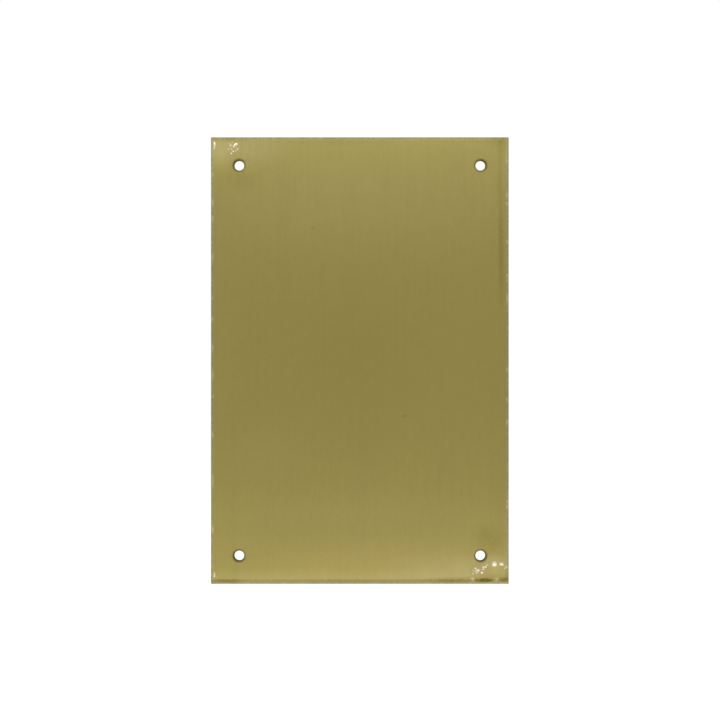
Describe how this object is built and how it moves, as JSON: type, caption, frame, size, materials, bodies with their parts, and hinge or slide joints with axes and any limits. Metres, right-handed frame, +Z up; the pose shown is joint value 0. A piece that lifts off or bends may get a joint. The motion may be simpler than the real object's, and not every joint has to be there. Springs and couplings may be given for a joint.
{
  "type": "blank door plate",
  "caption": "Flat rectangular brushed brass plate with a screw hole near each corner, fixed to a door to cover or carry something.",
  "frame": {"origin": "centre of the back face, midway between the four screw holes, where the plate meets the door", "axes": "+X to the right seen from the front, +Z up the plate's length, +Y into the door; the brushed front faces -Y"},
  "size_m": [0.1, 0.0015, 0.15],
  "materials": {
    "satin_brass": "brushed along the plate's length on the front, mill finish on the back, sheared edges"
  },
  "bodies": {
    "root": {"door_plate": "satin_brass"}
  },
  "joints": []
}
